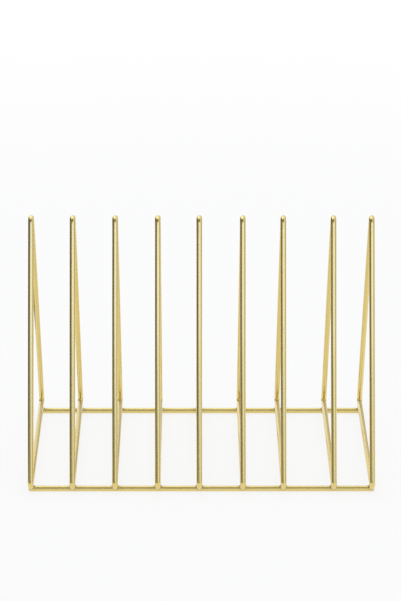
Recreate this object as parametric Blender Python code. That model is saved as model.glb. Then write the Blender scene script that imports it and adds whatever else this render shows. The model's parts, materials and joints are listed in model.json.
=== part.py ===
"""Desktop wire book rack: triangular divider loops welded across two straight rails.

The frame is +Z up, +X along the row of loops and +Y from the front rail to the rear rail. The
origin lies on the ground under the middle of the rack. Lengths are in metres.
"""

import math

import bmesh
import bpy
from mathutils import Matrix, Vector

# Wire gauges, measured across the flats of the faceted wire
LOOP_WIRE_DIAMETER = 0.005
RAIL_DIAMETER = 0.005

# Divider loop on its centre line. A corner is the point where two straight runs would meet.
BASE_LENGTH = 0.188
LOOP_HEIGHT = 0.2195
BASE_BEND_RADIUS = 0.0035
TOP_BEND_RADIUS = 0.0035

# Loops stand at an even pitch, the end ones flush with the rail ends. Those between were set by hand
# and stand off their even places by these amounts, left to right, which leaves one wide slot.
LOOP_PITCH = 0.0369
INNER_LOOP_SHIFTS = (-0.0009, -0.0010, -0.0009, -0.0019, -0.0011, -0.0029, 0.0037)

# Weld bead: a ring of metal round the point where a base wire lies on a rail
WELD_RING_RADIUS = 0.0021
WELD_SECTION_RADIUS = 0.00085
WELD_TO_BEND = 0.0027

RAIL_END_CHAMFER = 0.0012
FIT_GAP = 0.0003

# Facets
FACETS_PER_QUARTER = 3
BEND_STEPS = 6
WELD_RING_STEPS = 12
WELD_SECTION_STEPS = 8

# Finish
BRASS_COLOUR = (0.62, 0.43, 0.14, 1.0)
WELD_COLOUR = (0.46, 0.32, 0.12, 1.0)
WIRE_ROUGHNESS = 0.25
WELD_ROUGHNESS = 0.45

WIRE_SIDES = 4 * FACETS_PER_QUARTER
HALF_FACET = math.pi / WIRE_SIDES
FRONT = -1
REAR = 1
ALONG_X = Vector((1, 0, 0))
ALONG_Y = Vector((0, 1, 0))

# Heights of the two centre lines: the rails stand on the ground and the base wires lie on them
RAIL_Z = RAIL_DIAMETER / 2
BASE_Z = RAIL_DIAMETER + FIT_GAP + LOOP_WIRE_DIAMETER / 2
CROSSING_Z = RAIL_DIAMETER + FIT_GAP / 2

# A base bend uses up this length of the base before the straight run starts
BASE_ANGLE = math.atan2(LOOP_HEIGHT, BASE_LENGTH / 2)
BEND_SETBACK = BASE_BEND_RADIUS / math.tan(BASE_ANGLE / 2)
WELD_REACH = WELD_RING_RADIUS + WELD_SECTION_RADIUS
RAIL_Y = BASE_LENGTH / 2 - BEND_SETBACK - WELD_TO_BEND - WELD_REACH

LOOP_SHIFTS = (0.0, *INNER_LOOP_SHIFTS, 0.0)
LOOP_SPAN = LOOP_PITCH * (len(LOOP_SHIFTS) - 1)
LOOP_X = [LOOP_PITCH * index - LOOP_SPAN / 2 + shift for index, shift in enumerate(LOOP_SHIFTS)]
RAIL_LENGTH = LOOP_SPAN + LOOP_WIRE_DIAMETER


def corner_radius(diameter):
    """Distance from a faceted wire's centre line to its edges, for a width across the flats."""
    return diameter / 2 / math.cos(HALF_FACET)


def clear_scene():
    for item in list(bpy.data.objects):
        bpy.data.objects.remove(item, do_unlink=True)


def new_collection(name, helper=False):
    collection = bpy.data.collections.new(name)
    bpy.context.scene.collection.children.link(collection)
    collection.hide_render = helper
    return collection


def metal(name, colour, roughness):
    material = bpy.data.materials.new(name)
    material.use_nodes = True
    shader = material.node_tree.nodes["Principled BSDF"]
    shader.inputs["Base Color"].default_value = colour
    shader.inputs["Metallic"].default_value = 1.0
    shader.inputs["Roughness"].default_value = roughness
    return material


def bend_points(before, corner, after, radius):
    """Points along the arc of this radius that rounds the corner between two straight runs."""
    to_before = (before - corner).normalized()
    to_after = (after - corner).normalized()
    half_angle = to_before.angle(to_after) / 2
    centre = corner + (to_before + to_after).normalized() * (radius / math.sin(half_angle))
    start = corner + to_before * (radius / math.tan(half_angle)) - centre
    normal = to_before.cross(to_after)
    sweep = 2 * half_angle - math.pi
    turns = [Matrix.Rotation(sweep * step / BEND_STEPS, 3, normal) for step in range(BEND_STEPS + 1)]
    return [centre + turn @ start for turn in turns]


def loop_path():
    """The closed triangle of one divider loop in the plane X = 0, from the front base corner up."""
    front = Vector((0, FRONT * BASE_LENGTH / 2, BASE_Z))
    top = Vector((0, 0, BASE_Z + LOOP_HEIGHT))
    rear = Vector((0, REAR * BASE_LENGTH / 2, BASE_Z))
    path = bend_points(rear, front, top, BASE_BEND_RADIUS)
    path += bend_points(front, top, rear, TOP_BEND_RADIUS)
    path += bend_points(top, rear, front, BASE_BEND_RADIUS)
    return path


def wire_curve(name, path, diameter, material, closed=False):
    """A round wire along a path, turned so that four of its facets face along the main axes."""
    curve = bpy.data.curves.new(name, "CURVE")
    curve.dimensions = "3D"
    curve.bevel_depth = corner_radius(diameter)
    curve.bevel_resolution = 2 * FACETS_PER_QUARTER - 2
    curve.use_fill_caps = True
    curve.materials.append(material)
    spline = curve.splines.new("POLY")
    spline.points.add(len(path) - 1)
    spline.use_cyclic_u = closed
    for point, place in zip(spline.points, path):
        point.co = (*place, 1)
        point.tilt = HALF_FACET
    return curve


def rail_curve(material):
    """A straight rail along X with its ends chamfered by narrowing the wire."""
    end = RAIL_LENGTH / 2
    shoulder = end - RAIL_END_CHAMFER
    path = [Vector((x, 0, 0)) for x in (-end, -shoulder, shoulder, end)]
    curve = wire_curve("rail", path, RAIL_DIAMETER, material)
    points = curve.splines[0].points
    for point in (points[0], points[-1]):
        point.radius = 1 - RAIL_END_CHAMFER / (RAIL_DIAMETER / 2)
    return curve


def weld_mesh(material):
    """The uncut ring of one weld bead, lying flat round the origin."""
    bpy.ops.mesh.primitive_torus_add(
        major_radius=WELD_RING_RADIUS,
        minor_radius=WELD_SECTION_RADIUS,
        major_segments=WELD_RING_STEPS,
        minor_segments=WELD_SECTION_STEPS,
    )
    ring = bpy.context.object
    mesh = ring.data
    mesh.materials.append(material)
    mesh.shade_smooth()
    bpy.data.objects.remove(ring)
    return mesh


def place(name, data, parent, collection, location):
    piece = bpy.data.objects.new(name, data)
    piece.parent = parent
    piece.location = location
    collection.objects.link(piece)
    return piece


def clearance_rod(name, diameter, length, along, location, collection):
    """A cutter as thick as a wire with the fit gap round it, facets in line with the wire's."""
    mesh = bpy.data.meshes.new(name)
    body = bmesh.new()
    radius = corner_radius(diameter + 2 * FIT_GAP)
    turn = along.to_track_quat("Z", "Y").to_matrix().to_4x4() @ Matrix.Rotation(HALF_FACET, 4, "Z")
    bmesh.ops.create_cone(
        body,
        cap_ends=True,
        segments=WIRE_SIDES,
        radius1=radius,
        radius2=radius,
        depth=length,
        matrix=turn,
    )
    body.to_mesh(mesh)
    body.free()
    rod = bpy.data.objects.new(name, mesh)
    rod.location = location
    rod.hide_render = True
    rod.display_type = "WIRE"
    collection.objects.link(rod)
    return rod


def seat(bead, cutters):
    """Cuts a weld bead to lie against the wires that it joins."""
    for cutter in cutters:
        cut = bead.modifiers.new(cutter.name, "BOOLEAN")
        cut.object = cutter


def build():
    clear_scene()
    parts = new_collection("desktop_book_rack")
    cutters = new_collection("weld_seat_cutters", helper=True)
    rack = bpy.data.objects.new("rack_origin", None)
    parts.objects.link(rack)

    loop_brass = metal("divider_brass", BRASS_COLOUR, WIRE_ROUGHNESS)
    rail_brass = metal("rail_brass", BRASS_COLOUR, WIRE_ROUGHNESS)
    weld_brass = metal("weld_brass", WELD_COLOUR, WELD_ROUGHNESS)

    loop = wire_curve("divider_loop", loop_path(), LOOP_WIRE_DIAMETER, loop_brass, closed=True)
    rail = rail_curve(rail_brass)
    ring = weld_mesh(weld_brass)

    base_cutters = []
    for number, x in enumerate(LOOP_X, start=1):
        place(f"divider_loop_{number}", loop, rack, parts, (x, 0, 0))
        name = f"base_wire_clearance_{number}"
        spot = (x, 0, BASE_Z)
        base_cutters.append(clearance_rod(name, LOOP_WIRE_DIAMETER, BASE_LENGTH, ALONG_Y, spot, cutters))

    for side, side_name in ((FRONT, "front"), (REAR, "rear")):
        y = side * RAIL_Y
        spot = (0, y, RAIL_Z)
        place(f"{side_name}_rail", rail, rack, parts, spot)
        name = f"{side_name}_rail_clearance"
        length = RAIL_LENGTH + 2 * WELD_REACH
        rail_cutter = clearance_rod(name, RAIL_DIAMETER, length, ALONG_X, spot, cutters)
        for number, x in enumerate(LOOP_X, start=1):
            bead = place(f"{side_name}_weld_{number}", ring, rack, parts, (x, y, CROSSING_Z))
            seat(bead, (rail_cutter, base_cutters[number - 1]))


build()
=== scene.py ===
# %% [markdown]
# # A desktop book rack in brass wire
#
# The rack is nine triangular loops of round wire, standing in a row across two straight rails. Each
# crossing is welded. The CAD model already holds every piece at its real size, with twelve-sided wires.
# This lesson dresses it: it lays a smooth round wire over each faceted one, gives the welds their bead,
# and works out a brass finish with the marks that drawing, bending and welding leave.
#
# Every piece of the rack is a profile carried along a path, worked out with numpy as one grid of points.

# %% Load the frame
import json
import math
import bpy
import numpy as np
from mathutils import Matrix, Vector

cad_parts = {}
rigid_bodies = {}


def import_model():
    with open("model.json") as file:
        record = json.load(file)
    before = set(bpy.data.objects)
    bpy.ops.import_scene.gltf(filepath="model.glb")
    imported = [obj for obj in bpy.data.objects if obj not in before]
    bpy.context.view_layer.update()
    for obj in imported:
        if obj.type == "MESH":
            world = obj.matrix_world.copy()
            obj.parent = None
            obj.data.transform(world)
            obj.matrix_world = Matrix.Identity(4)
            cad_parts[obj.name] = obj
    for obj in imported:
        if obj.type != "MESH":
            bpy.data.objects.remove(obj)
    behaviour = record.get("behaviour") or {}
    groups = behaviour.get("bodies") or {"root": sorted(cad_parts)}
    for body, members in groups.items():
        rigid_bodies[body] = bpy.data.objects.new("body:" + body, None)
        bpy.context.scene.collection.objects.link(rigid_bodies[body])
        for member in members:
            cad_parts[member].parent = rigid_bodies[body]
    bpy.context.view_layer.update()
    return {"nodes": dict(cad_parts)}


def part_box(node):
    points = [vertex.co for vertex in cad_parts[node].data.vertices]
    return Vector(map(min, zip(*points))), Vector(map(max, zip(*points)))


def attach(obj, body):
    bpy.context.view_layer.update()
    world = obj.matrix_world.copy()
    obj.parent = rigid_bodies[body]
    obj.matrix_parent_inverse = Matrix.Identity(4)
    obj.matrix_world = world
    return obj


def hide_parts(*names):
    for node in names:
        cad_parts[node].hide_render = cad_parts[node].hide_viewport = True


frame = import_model()

# %% [markdown]
# ## Sizes from the frame
#
# Nothing is measured twice. The loops' places, the wire's thickness and the rails' lines are read from
# the CAD nodes, so that a new wire can only lie where the old one was. The one size that a box can't
# show is the radius of the bends, so it is written here.

# %% Sizes from the frame
MM = 0.001
BEND_RADIUS = 3.5 * MM


def span(node):
    """Lowest and highest corner of a CAD node, as two arrays."""
    low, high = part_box(node)
    return np.array(low), np.array(high)


loop_count = sum(name.startswith("divider_loop_") for name in frame["nodes"])
loop_numbers = range(1, loop_count + 1)
loop_low, loop_high = span("divider_loop_1")
loop_x = np.array([sum(span(f"divider_loop_{n}"))[0] / 2 for n in loop_numbers])
wire_radius = (loop_high[0] - loop_low[0]) / 2
rail_low, rail_high = span("rear_rail")
rail_y = (rail_low[1] + rail_high[1]) / 2
rail_z = (rail_low[2] + rail_high[2]) / 2
rail_end = rail_high[0]
crossing_z = (rail_high[2] + loop_low[2]) / 2
print(f"{loop_count} loops, wire radius {wire_radius / MM:.2f} mm, rails at y = {rail_y / MM:.2f} mm")

# %% [markdown]
# ## Camera
#
# The picture is taken from the front with a long lens, looking down about 22 degrees. From there the
# front wires lean back square to the view, so they look upright. The place, the three turns and the focal
# length were fitted together to the outline of loops and rails, and the lens has no shift. The focal
# length was fitted in pixels. The picture's height is its longer side, so the sensor's width covers it.

# %% Camera
PICTURE_HEIGHT = 601
FOCAL_PIXELS = 2628.7
SENSOR = 36.0
CAMERA_PLACE = (-0.0104, -2.1447, 0.9947)
CAMERA_TILT = math.radians(21.610)
CAMERA_TURN = math.radians(0.258)
CAMERA_ROLL = math.radians(0.1)

camera = bpy.data.objects.new("camera", bpy.data.cameras.new("camera"))
camera.data.sensor_width = SENSOR
camera.data.lens = FOCAL_PIXELS * SENSOR / PICTURE_HEIGHT
camera.location = CAMERA_PLACE
camera.rotation_euler = (math.pi / 2 - CAMERA_TILT, 0.0, -CAMERA_TURN)
camera.rotation_euler.rotate_axis("Z", CAMERA_ROLL)
bpy.context.scene.collection.objects.link(camera)
bpy.context.scene.camera = camera
bpy.context.scene.view_settings.view_transform = "Standard"
print(f"lens {camera.data.lens:.1f} mm")

# %% [markdown]
# ## Helpers for nodes and meshes
#
# A node's input takes either a plain value or another node's output, so one helper can place a node and
# wire it in one line. A mesh comes from a grid of points, row by row along the path and column by column
# round the section, and neighbours in the grid make the four-sided faces.

# %% Helpers for nodes and meshes
def put(tree, kind, inputs=(), **settings):
    """Adds a node. Each input is given as a plain value or as the output that feeds it."""
    made = tree.nodes.new(kind)
    for name, value in settings.items():
        setattr(made, name, value)
    for name, value in dict(inputs).items():
        if isinstance(value, bpy.types.NodeSocket):
            tree.links.new(value, made.inputs[name])
        else:
            made.inputs[name].default_value = value
    return made


def empty_material(name):
    """A material with nothing but its output node."""
    material = bpy.data.materials.new(name)
    material.use_nodes = True
    material.node_tree.nodes.clear()
    output = material.node_tree.nodes.new("ShaderNodeOutputMaterial")
    return material, material.node_tree, output.inputs["Surface"]


def grid_faces(rows, columns, closed_rows):
    """Corner numbers of a grid's faces. Columns always close into a ring, and rows may."""
    last = rows if closed_rows else rows - 1
    row, column = np.meshgrid(np.arange(last), np.arange(columns), indexing="ij")
    next_row = (row + 1) % rows
    next_column = (column + 1) % columns
    corners = (row * columns + column, row * columns + next_column,
               next_row * columns + next_column, next_row * columns + column)
    return np.stack(corners, axis=-1).reshape(-1, 4)


def add_mesh(name, points, faces, material):
    """Puts points and faces into a new smooth-shaded mesh object at the origin."""
    mesh = bpy.data.meshes.new(name)
    mesh.from_pydata(points.reshape(-1, 3), [], faces)
    mesh.shade_smooth()
    mesh.materials.append(material)
    made = bpy.data.objects.new(name, mesh)
    bpy.context.scene.collection.objects.link(made)
    return made


def add_field(piece, name, values):
    """Stores one number, or one vector, for each point of a piece, for its material to read."""
    values = np.asarray(values, np.float32)
    vector = values.ndim > 1 and values.shape[-1] == 3
    field = piece.data.attributes.new(name, "FLOAT_VECTOR" if vector else "FLOAT", "POINT")
    field.data.foreach_set("vector" if vector else "value", values.ravel())


# %% [markdown]
# ## Floor and background
#
# The rack stands on a white table in front of white paper. A table that simply ends would show a line
# where it stops, so the floor's own paint gives way to plain white further out. Beside the rack the camera
# and mirror reflections already see four fifths of that white, and the lit paint in the rest keeps the
# rack's soft shadow.

# %% Floor and background
FLOOR_REACH = 9.0
FLOOR_PAINT = (0.93, 0.93, 0.925, 1.0)
FADE_FROM = 0.5
FADE_TO = 1.5
NEAR_WHITE = 0.8
WHITE = (1.0, 1.0, 1.0, 1.0)
SKY_LIGHT = 0.86


def seen_ray(tree):
    """1 for rays from the camera, a mirror or glass, and 0 for those that only carry light."""
    path = put(tree, "ShaderNodeLightPath").outputs
    either = put(tree, "ShaderNodeMath", {0: path["Is Camera Ray"], 1: path["Is Glossy Ray"]},
                 operation="MAXIMUM")
    seen = put(tree, "ShaderNodeMath", {0: either.outputs[0], 1: path["Is Transmission Ray"]},
               operation="MAXIMUM")
    return seen.outputs[0]


def floor_paint():
    """White paint that fades to plain white with distance from the rack."""
    material, tree, surface = empty_material("floor_white")
    place = put(tree, "ShaderNodeTexCoord")
    distance = put(tree, "ShaderNodeVectorMath", {0: place.outputs["Object"]}, operation="LENGTH")
    fade = put(tree, "ShaderNodeMapRange", {"Value": distance.outputs["Value"], "From Min": FADE_FROM,
                                            "From Max": FADE_TO, "To Min": NEAR_WHITE},
               interpolation_type="SMOOTHSTEP")
    share = put(tree, "ShaderNodeMath", {0: fade.outputs["Result"], 1: seen_ray(tree)},
                operation="MULTIPLY")
    paint = put(tree, "ShaderNodeBsdfDiffuse", {"Color": FLOOR_PAINT})
    white = put(tree, "ShaderNodeEmission", {"Color": WHITE})
    mix = put(tree, "ShaderNodeMixShader", {0: share.outputs[0], 1: paint.outputs[0], 2: white.outputs[0]})
    tree.links.new(mix.outputs[0], surface)
    return material


side = np.array([-FLOOR_REACH, FLOOR_REACH])
floor_points = np.stack(np.meshgrid(side, side, [0.0]), axis=-1).reshape(-1, 3)
floor = add_mesh("floor", floor_points, np.array([[0, 2, 3, 1]]), floor_paint())

world = bpy.data.worlds.new("white_paper")
world.use_nodes = True
world.node_tree.nodes.clear()
light = put(world.node_tree, "ShaderNodeBackground", {"Color": WHITE, "Strength": SKY_LIGHT})
paper = put(world.node_tree, "ShaderNodeBackground", {"Color": WHITE})
both = put(world.node_tree, "ShaderNodeMixShader", {0: seen_ray(world.node_tree), 1: light.outputs[0],
                                                   2: paper.outputs[0]})
put(world.node_tree, "ShaderNodeOutputWorld", {"Surface": both.outputs[0]})
bpy.context.scene.world = world
print("floor normal z:", floor.data.polygons[0].normal.z)

# %% [markdown]
# ## Lamps and cards
#
# Polished wire shows its surroundings, so a studio lights it with what it should mirror. A soft, cool
# lamp hangs overhead. Two cool sheets stand far in front, the upper one brighter, and make the pale strip
# down the middle of each front wire. On white alone brass looks flat, so photographers hold darker cards
# round it as well. Those on the left make the dark streak along each wire, and those above and low in
# front end that streak and draw the line along the rails. One on the floor darkens the wires' undersides
# on the left, and two grey ones tone down the right and the back. A small bright one overhead puts a glint
# on each top bend. Only mirror reflections see the cards.

# %% Lamps and cards
RACK_MIDDLE = (0.0, 0.0, 0.1)
COOL_LAMP = (0.50, 0.66, 1.0)
COOL = (0.57, 0.65, 1.0, 1.0)
COOLER = (0.54, 0.62, 1.0, 1.0)
WARM = (1.0, 0.93, 0.5, 1.0)


def soft_lamp(name, place, width, height, level, tint):
    """A rectangular lamp aimed at the rack, whose face in a mirror is this bright, where 1 is white."""
    lamp = bpy.data.lights.new(name, "AREA")
    lamp.shape = "RECTANGLE"
    lamp.size = width
    lamp.size_y = height
    lamp.energy = level * math.pi * width * height
    lamp.color = tint
    made = bpy.data.objects.new(name, lamp)
    aim = np.array(RACK_MIDDLE) - np.array(place)
    made.location = place
    made.rotation_euler = Vector(aim).to_track_quat("-Z", "Y").to_euler()
    made.visible_camera = False
    bpy.context.scene.collection.objects.link(made)
    return made


def card(name, corners, level, tint=WHITE):
    """A flat four-cornered card of this brightness that only mirror reflections see."""
    material, tree, surface = empty_material(name)
    glow = put(tree, "ShaderNodeEmission", {"Color": tint, "Strength": level})
    tree.links.new(glow.outputs[0], surface)
    made = add_mesh(name, np.array(corners), np.array([[0, 1, 2, 3]]), material)
    made.visible_camera = False
    made.visible_diffuse = False
    made.visible_shadow = False
    return made


def upright_card(name, start, end, low, high, level, tint=WHITE):
    """A card that stands between two points of the plan, from one height to another."""
    return card(name, [(*start, low), (*end, low), (*end, high), (*start, high)], level, tint)


soft_lamp("overhead_lamp", (-0.25, 0.6, 1.5), width=1.2, height=0.45, level=1.25, tint=COOL_LAMP)
upright_card("cool_card_low", (-3.6, -5.0), (7.0, -5.0), low=1.3, high=2.3, level=1.6, tint=COOL)
upright_card("cool_card_high", (-3.6, -5.0), (7.0, -5.0), low=2.3, high=3.2, level=2.25, tint=COOLER)
upright_card("dark_card_left", (-1.19, -0.55), (-1.6, 1.9), low=0.0, high=1.3, level=0.1)
upright_card("grey_card_left", (-1.05, -1.4), (-1.19, -0.55), low=0.0, high=1.3, level=0.3)
upright_card("grey_card_right", (1.14, -0.87), (1.6, 1.9), low=0.0, high=1.3, level=0.66)
upright_card("grey_card_back", (0.25, 2.2), (1.6, 1.9), low=0.0, high=1.0, level=0.55)
card("dark_card_above",
     [(-4.8, -4.8, 2.85), (2.25, -4.8, 2.85), (0.9, -0.8, 2.1), (-1.9, -0.8, 2.1)], level=0.2)
card("glint_card",
     [(-0.95, 0.2, 1.5), (-0.35, 0.2, 1.5), (-0.35, 0.75, 1.4), (-0.95, 0.75, 1.4)],
     level=4.5, tint=COOLER)
card("dark_card_low",
     [(-1.0, -1.65, 0.15), (0.3, -1.65, 0.15), (0.3, -1.65, 0.56), (-1.0, -1.65, 0.88)],
     level=0.27, tint=WARM)
card("dark_card_floor",
     [(-1.5, -0.4, 0.002), (-0.26, -0.4, 0.002), (-0.26, 1.2, 0.002), (-1.5, 1.2, 0.002)], level=0.2)
studio = [o.name for o in bpy.context.scene.objects if "lamp" in o.name or "card" in o.name]
print("lamps and cards:", studio)

# %% [markdown]
# ## Brass wire finish
#
# Wire is pulled through a die, which draws fine lines along it. It is then polished and lacquered, so it
# shines, but not like a mirror: the lines break the reflections up, the colour drifts a little along the
# wire, heat has dulled it beside the welds, and what faces straight up or down is rubbed. The lines have
# to follow the wire round its bends, so the material reads a field that the wire's own grid stores: where
# a point is round the wire, and how far along it, in millimetres.

# %% Brass wire finish
BRASS_WARM = (0.79, 0.605, 0.150, 1.0)
BRASS_PALE = (0.75, 0.595, 0.175, 1.0)
BRASS_TARNISH = (0.46, 0.34, 0.12, 1.0)
LOOP_ROUGHNESS = 0.15
RAIL_ROUGHNESS = 0.25

# The range that noise seldom leaves
NOISE_LOW = 0.3
NOISE_HIGH = 0.7

# Drawn lines and slow waves. The scales are in waves per millimetre, across the wire twice, then along it
LINE_SCALE = (2.2, 2.2, 0.004)
LINE_SMOOTHER = 0.04
LINE_ROUGHER = 0.06
LINE_DEPTH = 0.003 * MM
SWAY_SCALE = (0.10, 0.10, 0.025)
SWAY_DEPTH = 0.03 * MM

# Drifting colour and dark flecks. The scales are in waves per metre
DRIFT_SCALE = (22.0, 22.0, 22.0)
FLECK_SCALE = (430.0, 430.0, 430.0)
FLECK_FROM = 0.64
FLECK_TO = 0.80
FLECK_STAIN = 0.3

# What heat and rubbing add
HEAT_STAIN = 0.45
HEAT_ROUGHNESS = 0.14
RUB_ROUGHNESS = 0.10

# Clear lacquer
LACQUER_ROUGHNESS = 0.05
LACQUER_INDEX = 1.8


def noise(tree, vector, scale, detail):
    """Noise over a vector whose three directions are first scaled apart."""
    spread = put(tree, "ShaderNodeMapping", {"Vector": vector, "Scale": scale}).outputs[0]
    made = put(tree, "ShaderNodeTexNoise", {"Vector": spread, "Scale": 1.0, "Detail": detail})
    return made.outputs[0]


def blend(tree, share, first, second):
    """Colour between two, by share."""
    mix = put(tree, "ShaderNodeMix", data_type="RGBA")
    for socket, value in zip([s for s in mix.inputs if s.enabled], (share, first, second)):
        if isinstance(value, bpy.types.NodeSocket):
            tree.links.new(value, socket)
        else:
            socket.default_value = value
    return next(s for s in mix.outputs if s.enabled)


def ramp(tree, value, low, high, start, end):
    """Carries a value's range from low..high over to start..end, and stops at both ends."""
    return put(tree, "ShaderNodeMapRange", {"Value": value, "From Min": low, "From Max": high,
                                            "To Min": start, "To Max": end}).outputs[0]


def total(tree, first, second):
    """Sum of two values."""
    return put(tree, "ShaderNodeMath", {0: first, 1: second}, operation="ADD").outputs[0]


def brass(name, roughness):
    """Lacquered brass with drawn lines, drifting colour, heat marks and rubbed places."""
    material, tree, surface = empty_material(name)
    grain = put(tree, "ShaderNodeAttribute", attribute_name="wire_grain").outputs["Vector"]
    heat = put(tree, "ShaderNodeAttribute", attribute_name="weld_heat").outputs["Fac"]
    rub = put(tree, "ShaderNodeAttribute", attribute_name="rub").outputs["Fac"]
    place = put(tree, "ShaderNodeTexCoord").outputs["Object"]

    lines = noise(tree, grain, LINE_SCALE, detail=5.0)
    sway = noise(tree, grain, SWAY_SCALE, detail=2.0)
    drift = noise(tree, place, DRIFT_SCALE, detail=3.0)
    specks = noise(tree, place, FLECK_SCALE, detail=4.0)
    flecks = ramp(tree, specks, FLECK_FROM, FLECK_TO, 0.0, FLECK_STAIN)

    paler = ramp(tree, drift, NOISE_LOW, NOISE_HIGH, 0.0, 1.0)
    clean = blend(tree, paler, BRASS_WARM, BRASS_PALE)
    stain = total(tree, flecks, ramp(tree, heat, 0.0, 1.0, 0.0, HEAT_STAIN))
    stained = blend(tree, stain, clean, BRASS_TARNISH)
    smoothest = roughness - LINE_SMOOTHER
    roughest = roughness + LINE_ROUGHER
    drawn_rough = ramp(tree, lines, NOISE_LOW, NOISE_HIGH, smoothest, roughest)
    heat_rough = ramp(tree, heat, 0.0, 1.0, 0.0, HEAT_ROUGHNESS)
    rub_rough = ramp(tree, rub, 0.0, 1.0, 0.0, RUB_ROUGHNESS)
    rough = total(tree, drawn_rough, total(tree, heat_rough, rub_rough))

    waves = put(tree, "ShaderNodeBump", {"Height": sway, "Distance": SWAY_DEPTH})
    drawn = put(tree, "ShaderNodeBump",
                {"Height": lines, "Distance": LINE_DEPTH, "Normal": waves.outputs[0]})
    shader = put(tree, "ShaderNodeBsdfPrincipled",
                 {"Base Color": stained, "Metallic": 1.0, "Roughness": rough, "Normal": drawn.outputs[0],
                  "Coat Weight": 1.0, "Coat Roughness": LACQUER_ROUGHNESS, "Coat IOR": LACQUER_INDEX})
    tree.links.new(shader.outputs[0], surface)
    return material


loop_brass = brass("loop_brass", LOOP_ROUGHNESS)
rail_brass = brass("rail_brass", RAIL_ROUGHNESS)
print("finishes:", loop_brass.name, rail_brass.name)

# %% [markdown]
# ## Round wire from a path
#
# Each loop is bent round three pins on a jig. A wire pulled tight round equal pins lies like a belt on
# pulleys: straight from pin to pin, and an arc round each. Its line is worked out that way, and then a
# circle is carried along it. At a bend real wire flattens a little in the plane of the bend, so the circle
# becomes an oval there.

# %% Round wire from a path
WIRE_SIDES = 36
RUN_STEP = 2.0 * MM
ARC_STEPS = 20
FLATTENING = 0.03


def belt_path(pins, radius):
    """Line of a wire round pins of one radius, in the plane (y, z).

    Between pins A and B the outward normal is n = (e_z, -e_y) for e = (B - A)/|B - A|, and the run goes
    from A + r n to B + r n. Round B the normal then turns to the next run's. Returns the outward normal
    at each point, the points, and how bent the wire is there, 0 on runs and 1 in mid-bend.
    """
    edges = np.roll(pins, -1, axis=0) - pins
    lengths = np.linalg.norm(edges, axis=1)
    angles = np.arctan2(edges[:, 1], edges[:, 0]) - np.pi / 2
    turns = (np.roll(angles, -1) - angles) % (2 * np.pi)
    parts = []
    for pin, edge, length, angle, turn in zip(pins, edges, lengths, angles, turns):
        run = np.linspace(0, 1, int(length / RUN_STEP), endpoint=False)
        arc = np.linspace(0, 1, ARC_STEPS, endpoint=False)
        turned = np.concatenate([np.full(run.size, angle), angle + turn * arc])
        centres = pin + np.concatenate([run, np.ones(arc.size)])[:, None] * edge
        bent = np.concatenate([np.zeros(run.size), np.sin(np.pi * arc) ** 2])
        normals = np.stack([np.cos(turned), np.sin(turned)], axis=1)
        parts.append((normals, centres + radius * normals, bent))
    return [np.concatenate(column) for column in zip(*parts)]


def loop_surface(normals, points, bent, x):
    """Grid of a loop's surface, P + R_n cos(a) N - R sin(a) X, where R_n = R (1 - f) in mid-bend."""
    around = np.linspace(0, 2 * np.pi, WIRE_SIDES, endpoint=False)
    deep = wire_radius * (1 - FLATTENING * bent)[:, None] * np.cos(around)
    wide = wire_radius * np.ones_like(bent)[:, None] * np.sin(around)
    flat = points[:, None, :] + deep[:, :, None] * normals[:, None, :]
    return np.concatenate([x - wide[:, :, None], flat], axis=2), around


pin_y = loop_high[1] - wire_radius - BEND_RADIUS
pin_low = loop_low[2] + wire_radius + BEND_RADIUS
pin_high = loop_high[2] - wire_radius - BEND_RADIUS
pins = np.array([[-pin_y, pin_low], [pin_y, pin_low], [0.0, pin_high]])
path_normals, path_points, path_bent = belt_path(pins, BEND_RADIUS)
print("points along a loop:", len(path_points), "pins in mm:", np.round(pins / MM, 2).tolist())

# %% [markdown]
# ## Fields on the wire
#
# The finish needs to know three things about every point: its place in the drawn wire, how near it is to
# a weld, and how much use rubs it. All three follow from the grid itself.

# %% Fields on the wire
HEAT_REACH = 4.0 * MM
RUB_FROM = 0.75

crossing_grid = np.meshgrid(loop_x, [-rail_y, rail_y], [crossing_z], indexing="ij")
crossings = np.stack(crossing_grid, axis=-1).reshape(-1, 3)


def wire_grain(around, along):
    """Place in the drawn wire, in mm: (R cos a, R sin a, distance along), which has no seam round it."""
    radius = wire_radius / MM
    ring = np.stack([radius * np.cos(around), radius * np.sin(around)], axis=-1)
    rows = np.broadcast_to(ring, (along.size, *ring.shape))
    length = np.broadcast_to((along / MM)[:, None, None], (*rows.shape[:2], 1))
    return np.concatenate([rows, length], axis=2)


def weld_heat(points):
    """1 at a weld, falling off as exp(-(d / reach)^2) with the distance d to the nearest crossing."""
    flat = points.reshape(-1, 1, 3)
    nearest = ((flat - crossings) ** 2).sum(axis=2).min(axis=1)
    return np.exp(-nearest / HEAT_REACH ** 2)


def rubbed(up):
    """(|n_z| - c) / (1 - c): 1 where the surface faces straight up or down, 0 from 41 degrees off that."""
    return np.clip((np.abs(up) - RUB_FROM) / (1 - RUB_FROM), 0, 1)


print("crossings:", len(crossings))

# %% [markdown]
# ## The nine loops
#
# All loops are bent on the same jig, so they share one path and differ in their place along the rails.
# Each was cut from another length of wire, so each starts its drawn lines somewhere else. Distance along
# the wire is counted both ways from one point, so that the lines meet where the loop closes.

# %% The nine loops
# Metres of drawn wire between the starts of two loops
NEXT_CUT = 1.7

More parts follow.
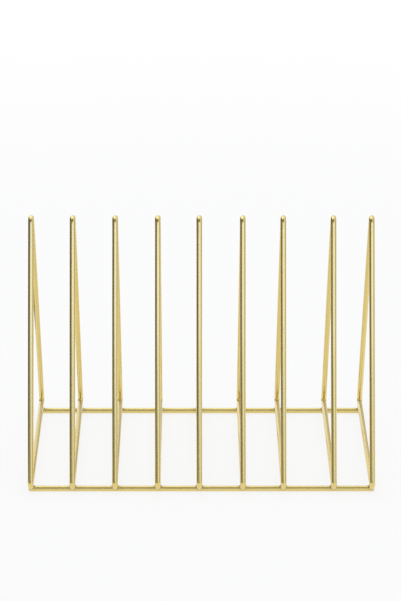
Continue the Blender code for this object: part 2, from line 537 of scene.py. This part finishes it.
steps = np.linalg.norm(np.roll(path_points, -1, axis=0) - path_points, axis=1)
path_along = np.abs(np.cumsum(steps) - steps.sum() / 2)
loop_grid = grid_faces(len(path_points), WIRE_SIDES, closed_rows=True)
for number, x in zip(loop_numbers, loop_x):
    surface_points, around = loop_surface(path_normals, path_points, path_bent, x)
    loop = add_mesh(f"wire_loop_{number}", surface_points, loop_grid, loop_brass)
    add_field(loop, "wire_grain", wire_grain(around, path_along + number * NEXT_CUT))
    add_field(loop, "weld_heat", weld_heat(surface_points))
    add_field(loop, "rub", rubbed(path_normals[:, 1, None] * np.cos(around)))
    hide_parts(f"divider_loop_{number}")
    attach(loop, "root")
print("triangles in a loop:", 2 * len(loop_grid))

# %% [markdown]
# ## The two rails
#
# The rails are straight lengths of the same wire. They are sheared off and tumbled, so the cut edge is
# rounded over and only a small flat face is left in the middle of each end. Rings of faces run in towards
# the middle of that face, and one last polygon closes it.

# %% The two rails
END_ROUND = 1.5 * MM
END_FACE = 0.25
LAST_RING = 0.02
FACE_STEPS = 4
ROUND_STEPS = 14
RAIL_STEPS = 150


def rail_profile():
    """Distance along and radius for a rail, from the last ring on one cut face to the other's.

    The rounded end is a quarter ellipse: x = end - E (1 - sin t), r = R (f + (1 - f) cos t), where f is
    the flat face's share of the radius.
    """
    face = np.linspace(LAST_RING, END_FACE, FACE_STEPS, endpoint=False)
    t = np.linspace(np.pi / 2, 0, ROUND_STEPS)
    curve_x = rail_end - END_ROUND * (1 - np.sin(t))
    curve_r = END_FACE + (1 - END_FACE) * np.cos(t)
    right_x = np.concatenate([np.full(face.size, rail_end), curve_x])
    right_r = np.concatenate([face, curve_r])
    middle = np.linspace(-curve_x[-1], curve_x[-1], RAIL_STEPS)[1:-1]
    along = np.concatenate([-right_x, middle, right_x[::-1]])
    return along, wire_radius * np.concatenate([right_r, np.ones(middle.size), right_r[::-1]])


def rail_surface(y):
    """Grid of a rail's surface, (x, y + r cos a, z + r sin a)."""
    along, radius = rail_profile()
    around = np.linspace(0, 2 * np.pi, WIRE_SIDES, endpoint=False)
    x = np.broadcast_to(along[:, None], (along.size, WIRE_SIDES))
    depth = y + radius[:, None] * np.cos(around)
    height = rail_z + radius[:, None] * np.sin(around)
    return np.stack([x, depth, height], axis=2), along, around


for name, y in (("front", -rail_y), ("rear", rail_y)):
    surface_points, along, around = rail_surface(y)
    rail_grid = grid_faces(len(along), WIRE_SIDES, closed_rows=False)
    first_ring = np.arange(WIRE_SIDES)
    last_ring = (len(along) - 1) * WIRE_SIDES + first_ring
    faces = rail_grid.tolist() + [first_ring[::-1].tolist(), last_ring.tolist()]
    rail = add_mesh(f"{name}_rail_wire", surface_points, faces, rail_brass)
    add_field(rail, "wire_grain", wire_grain(around, along))
    add_field(rail, "weld_heat", weld_heat(surface_points))
    add_field(rail, "rub", np.broadcast_to(rubbed(np.sin(around)), surface_points.shape[:2]))
    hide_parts(f"{name}_rail")
    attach(rail, "root")
print("triangles in a rail:", 2 * len(rail_grid) + 2 * (WIRE_SIDES - 2))

# %% [markdown]
# ## Weld beads
#
# A spot weld presses the two wires together while current melts the point where they touch. The metal
# that is pressed out wets both wires and freezes in the corner between them as a small hollow fillet,
# duller than the wire. Round the crossing the corner changes all the time, so the fillet is worked out
# from the two cylinders: at each angle it starts on the loop, ends on the rail and sags in between.

# %% Weld beads
BEAD_FOOT = 2.1 * MM
LOOP_SPREAD = 0.6 * MM
RAIL_SPREAD = 1.3 * MM
BEAD_WAIST = 2.0 * MM
BEAD_ROOT = 0.35 * MM
BEAD_STEPS = 64
BEAD_SIDES = 16
BEAD_SEED = 18
LUMP_SIZE = 0.025
LUMP_WAVES = np.arange(2, 6)

BEAD_BRASS = (0.72, 0.55, 0.175, 1.0)
BEAD_TARNISH = (0.50, 0.36, 0.12, 1.0)
STAIN_SCALE = (500.0, 500.0, 500.0)
STAIN_FROM = 0.35
STAIN_TO = 0.65
CLEAN_ROUGHNESS = 0.32
STAIN_ROUGHNESS = 0.46
GRIT_SCALE = (2500.0, 2500.0, 2500.0)
GRIT_DEPTH = 0.03 * MM


def bead_finish():
    """Satin brass, stained by the weld's heat."""
    material, tree, surface = empty_material("bead_brass")
    place = put(tree, "ShaderNodeTexCoord").outputs["Object"]
    stains = noise(tree, place, STAIN_SCALE, detail=3.0)
    grit = noise(tree, place, GRIT_SCALE, detail=3.0)
    colour = blend(tree, ramp(tree, stains, STAIN_FROM, STAIN_TO, 0.0, 1.0), BEAD_BRASS, BEAD_TARNISH)
    rough = ramp(tree, stains, NOISE_LOW, NOISE_HIGH, CLEAN_ROUGHNESS, STAIN_ROUGHNESS)
    bump = put(tree, "ShaderNodeBump", {"Height": grit, "Distance": GRIT_DEPTH})
    shader = put(tree, "ShaderNodeBsdfPrincipled",
                 {"Base Color": colour, "Metallic": 1.0, "Roughness": rough, "Normal": bump.outputs[0]})
    tree.links.new(shader.outputs[0], surface)
    return material


def wavy(angle, lumps):
    """1 plus a sum of a_k cos(k angle + p_k) over k = 2..5, with seeded sizes a_k and phases p_k."""
    sizes = lumps.uniform(-LUMP_SIZE, LUMP_SIZE, LUMP_WAVES.size)
    phases = lumps.uniform(0, 2 * np.pi, LUMP_WAVES.size)
    return 1 + (sizes * np.cos(LUMP_WAVES * angle[:, None] + phases)).sum(axis=1)


def bead_surface(x, lumps):
    """Grid of one fillet round the crossing of a rail with the loop at x, lying over the rail's axis.

    At angle a it meets the loop at radius f + s sin(a)^2 and stands on the rail at f + w cos(a)^2, for
    the foot f and the spreads s and w. Between them runs the curve (1-t)^2 P + 2 t (1-t) W + t^2 Q, whose
    middle point W draws it in to the waist. Two more points, inside the wires, close the section. Beside
    a rail's end the fillet stops at its rounding.
    """
    angle = np.linspace(0, 2 * np.pi, BEAD_STEPS, endpoint=False)
    across = np.cos(angle)
    along = np.sin(angle)
    low_reach = (BEAD_FOOT + RAIL_SPREAD * across ** 2) * wavy(angle, lumps)
    high_reach = (BEAD_FOOT + LOOP_SPREAD * along ** 2) * wavy(angle, lumps)
    room = rail_end - END_ROUND / 2 - abs(x)
    low_reach = np.minimum(low_reach, room / np.maximum(across * np.sign(x), room / rail_end))
    rail_radius = np.interp(x + low_reach * across, *rail_profile())
    rail_top = rail_z + np.sqrt(rail_radius ** 2 - (low_reach * along) ** 2)
    loop_under = loop_low[2] + wire_radius - np.sqrt(wire_radius ** 2 - (high_reach * across) ** 2)

    t = np.linspace(0, 1, BEAD_SIDES)
    weights = np.stack([(1 - t) ** 2, 2 * t * (1 - t), t ** 2])
    waist = np.minimum(BEAD_WAIST * wavy(angle, lumps), low_reach)
    reach = np.stack([high_reach, waist, low_reach], axis=1) @ weights
    height = np.stack([loop_under, (rail_top + loop_under) / 2, rail_top], axis=1) @ weights
    root_reach = np.stack([low_reach, high_reach], axis=1) - BEAD_ROOT
    root_height = np.stack([rail_top - BEAD_ROOT, loop_under + BEAD_ROOT], axis=1)
    reach = np.concatenate([reach, root_reach], axis=1)
    height = np.concatenate([height, root_height], axis=1)
    return np.stack([x + reach * across[:, None], reach * along[:, None], height], axis=2)


bead_brass = bead_finish()
lumps = np.random.default_rng(BEAD_SEED)
bead_grid = grid_faces(BEAD_STEPS, BEAD_SIDES + 2, closed_rows=True)
for name, y in (("front", -rail_y), ("rear", rail_y)):
    for number, x in zip(loop_numbers, loop_x):
        bead_points = bead_surface(x, lumps) + (0.0, y, 0.0)
        bead = add_mesh(f"{name}_bead_{number}", bead_points, bead_grid, bead_brass)
        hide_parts(f"{name}_weld_{number}")
        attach(bead, "root")
print("triangles in a bead:", 2 * len(bead_grid))
